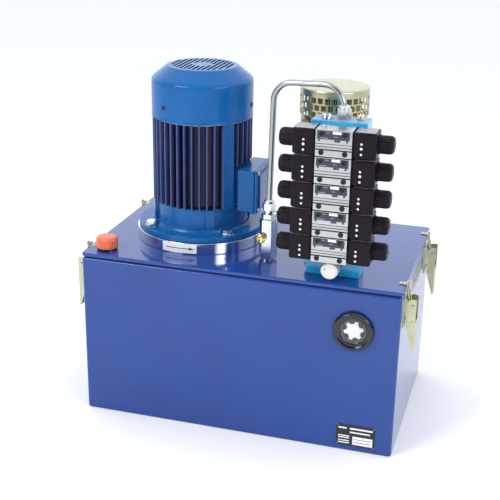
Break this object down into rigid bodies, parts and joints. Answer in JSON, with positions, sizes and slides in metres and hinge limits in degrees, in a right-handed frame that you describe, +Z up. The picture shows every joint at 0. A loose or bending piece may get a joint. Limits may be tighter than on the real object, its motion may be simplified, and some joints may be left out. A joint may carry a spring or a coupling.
{
  "type": "hydraulic power unit",
  "caption": "Oil tank with a latched lid that carries an upright finned motor over a gear pump, a breather, a filler and a manifold with stacked double-solenoid valves.",
  "frame": {"origin": "centre of the tank's underside, where the tank stands on the floor", "axes": "+Z up, -Y towards the front with the sight glass and the valves, +X to the right"},
  "size_m": [0.643, 0.3672, 0.6635],
  "materials": {
    "tank_paint": "gloss ultramarine enamel",
    "motor_paint": "semi-gloss blue enamel",
    "manifold_paint": "semi-gloss light blue enamel",
    "polished": "turned and polished",
    "aluminium": "as cast",
    "steel": "drawn, zinc plated",
    "zinc": "bright zinc plated",
    "yellow_zinc": "yellow passivated zinc",
    "cast_iron": "as cast",
    "copper": "laminations with varnished copper windings",
    "black_plastic": "moulded, slightly grained",
    "red_plastic": "moulded",
    "white_knob": "moulded",
    "rubber": "matte",
    "glass": "clear",
    "filter_paper": "pleated paper"
  },
  "bodies": {
    "power_unit": {"tank": "tank_paint", "lid": "tank_paint", "lid_gasket": "rubber", "sight_glass_body": "black_plastic", "sight_glass_window": "glass", "bellhousing": "polished", "motor_flange": "motor_paint", "motor_housing": "motor_paint", "terminal_box_lid": "motor_paint", "fan_cowl": "motor_paint", "motor_rear_shield": "aluminium", "motor_stator": "copper", "pump_body": "cast_iron", "pump_cover": "cast_iron", "suction_strainer": "zinc", "delivery_pipe": "steel", "check_valve_body": "zinc", "pressure_tube": "steel", "manifold": "manifold_paint", "relief_cartridge": "zinc", "valve_body_1": "zinc", "solenoid_left_1": "black_plastic", "solenoid_right_1": "black_plastic", "valve_body_2": "zinc", "solenoid_left_2": "black_plastic", "solenoid_right_2": "black_plastic", "valve_body_3": "zinc", "solenoid_left_3": "black_plastic", "solenoid_right_3": "black_plastic", "valve_body_4": "zinc", "solenoid_left_4": "black_plastic", "solenoid_right_4": "black_plastic", "valve_body_5": "zinc", "solenoid_left_5": "black_plastic", "solenoid_right_5": "black_plastic", "filler_neck": "black_plastic", "breather_riser": "steel", "breather_element": "filter_paper", "breather_guard": "yellow_zinc"},
    "drive_train": {"motor_rotor": "steel", "fan": "black_plastic", "coupling_motor_hub": "aluminium", "coupling_pump_hub": "aluminium", "pump_drive_gear": "steel"},
    "idler": {"pump_idler_gear": "steel"},
    "relief_adjuster": {"relief_knob": "white_knob"},
    "filler_cap": {"filler_cap": "red_plastic"},
    "lever_front_right": {"latch_lever_front_right": "yellow_zinc"},
    "bail_front_right": {"latch_bail_front_right": "yellow_zinc"},
    "lever_rear_right": {"latch_lever_rear_right": "yellow_zinc"},
    "bail_rear_right": {"latch_bail_rear_right": "yellow_zinc"},
    "lever_front_left": {"latch_lever_front_left": "yellow_zinc"},
    "bail_front_left": {"latch_bail_front_left": "yellow_zinc"},
    "lever_rear_left": {"latch_lever_rear_left": "yellow_zinc"},
    "bail_rear_left": {"latch_bail_rear_left": "yellow_zinc"},
    "spool_1": {"valve_spool_1": "steel"},
    "spool_2": {"valve_spool_2": "steel"},
    "spool_3": {"valve_spool_3": "steel"},
    "spool_4": {"valve_spool_4": "steel"},
    "spool_5": {"valve_spool_5": "steel"}
  },
  "joints": [
    {"name": "drive_spin", "type": "hinge", "parent": "power_unit", "child": "drive_train", "pos_m": [-0.1232, 0, 0.3], "axis": [0, 0, 1], "continuous": true},
    {"name": "idler_spin", "type": "hinge", "parent": "power_unit", "child": "idler", "pos_m": [-0.1232, 0.034, 0.165], "axis": [0, 0, 1], "continuous": true},
    {"name": "relief_turn", "type": "hinge", "parent": "power_unit", "child": "relief_adjuster", "pos_m": [0.1689, -0.158, 0.3453], "axis": [0, -1, 0], "range_deg": [-720, 720]},
    {"name": "cap_lift", "type": "slide", "parent": "power_unit", "child": "filler_cap", "axis": [0, 0, 1], "range_m": [0, 0.05]},
    {"name": "spool_slide_1", "type": "slide", "parent": "power_unit", "child": "spool_1", "axis": [1, 0, 0], "range_m": [-0.003, 0.003], "stiffness_N_per_m": 8000},
    {"name": "spool_slide_2", "type": "slide", "parent": "power_unit", "child": "spool_2", "axis": [1, 0, 0], "range_m": [-0.003, 0.003], "stiffness_N_per_m": 8000},
    {"name": "spool_slide_3", "type": "slide", "parent": "power_unit", "child": "spool_3", "axis": [1, 0, 0], "range_m": [-0.003, 0.003], "stiffness_N_per_m": 8000},
    {"name": "spool_slide_4", "type": "slide", "parent": "power_unit", "child": "spool_4", "axis": [1, 0, 0], "range_m": [-0.003, 0.003], "stiffness_N_per_m": 8000},
    {"name": "spool_slide_5", "type": "slide", "parent": "power_unit", "child": "spool_5", "axis": [1, 0, 0], "range_m": [-0.003, 0.003], "stiffness_N_per_m": 8000},
    {"name": "lever_open_front_right", "type": "hinge", "parent": "power_unit", "child": "lever_front_right", "pos_m": [0.3155, -0.135, 0.2895], "axis": [0, -1, 0], "range_deg": [0, 95]},
    {"name": "bail_swing_front_right", "type": "hinge", "parent": "lever_front_right", "child": "bail_front_right", "pos_m": [0.3163, -0.135, 0.2595], "axis": [0, -1, 0], "range_deg": [-58.9, 0]},
    {"name": "lever_open_rear_right", "type": "hinge", "parent": "power_unit", "child": "lever_rear_right", "pos_m": [0.3155, 0.135, 0.2895], "axis": [0, -1, 0], "range_deg": [0, 95]},
    {"name": "bail_swing_rear_right", "type": "hinge", "parent": "lever_rear_right", "child": "bail_rear_right", "pos_m": [0.3163, 0.135, 0.2595], "axis": [0, -1, 0], "range_deg": [-58.9, 0]},
    {"name": "lever_open_front_left", "type": "hinge", "parent": "power_unit", "child": "lever_front_left", "pos_m": [-0.3155, -0.135, 0.2895], "axis": [0, 1, 0], "range_deg": [0, 95]},
    {"name": "bail_swing_front_left", "type": "hinge", "parent": "lever_front_left", "child": "bail_front_left", "pos_m": [-0.3163, -0.135, 0.2595], "axis": [0, 1, 0], "range_deg": [-58.9, 0]},
    {"name": "lever_open_rear_left", "type": "hinge", "parent": "power_unit", "child": "lever_rear_left", "pos_m": [-0.3155, 0.135, 0.2895], "axis": [0, 1, 0], "range_deg": [0, 95]},
    {"name": "bail_swing_rear_left", "type": "hinge", "parent": "lever_rear_left", "child": "bail_rear_left", "pos_m": [-0.3163, 0.135, 0.2595], "axis": [0, 1, 0], "range_deg": [-58.9, 0]}
  ],
  "couplings": [
    {"joint": "idler_spin", "follows": "drive_spin", "ratio": -1},
    {"joint": "bail_swing_front_right", "follows": "lever_open_front_right", "ratio": -0.62},
    {"joint": "bail_swing_rear_right", "follows": "lever_open_rear_right", "ratio": -0.62},
    {"joint": "bail_swing_front_left", "follows": "lever_open_front_left", "ratio": -0.62},
    {"joint": "bail_swing_rear_left", "follows": "lever_open_rear_left", "ratio": -0.62}
  ]
}
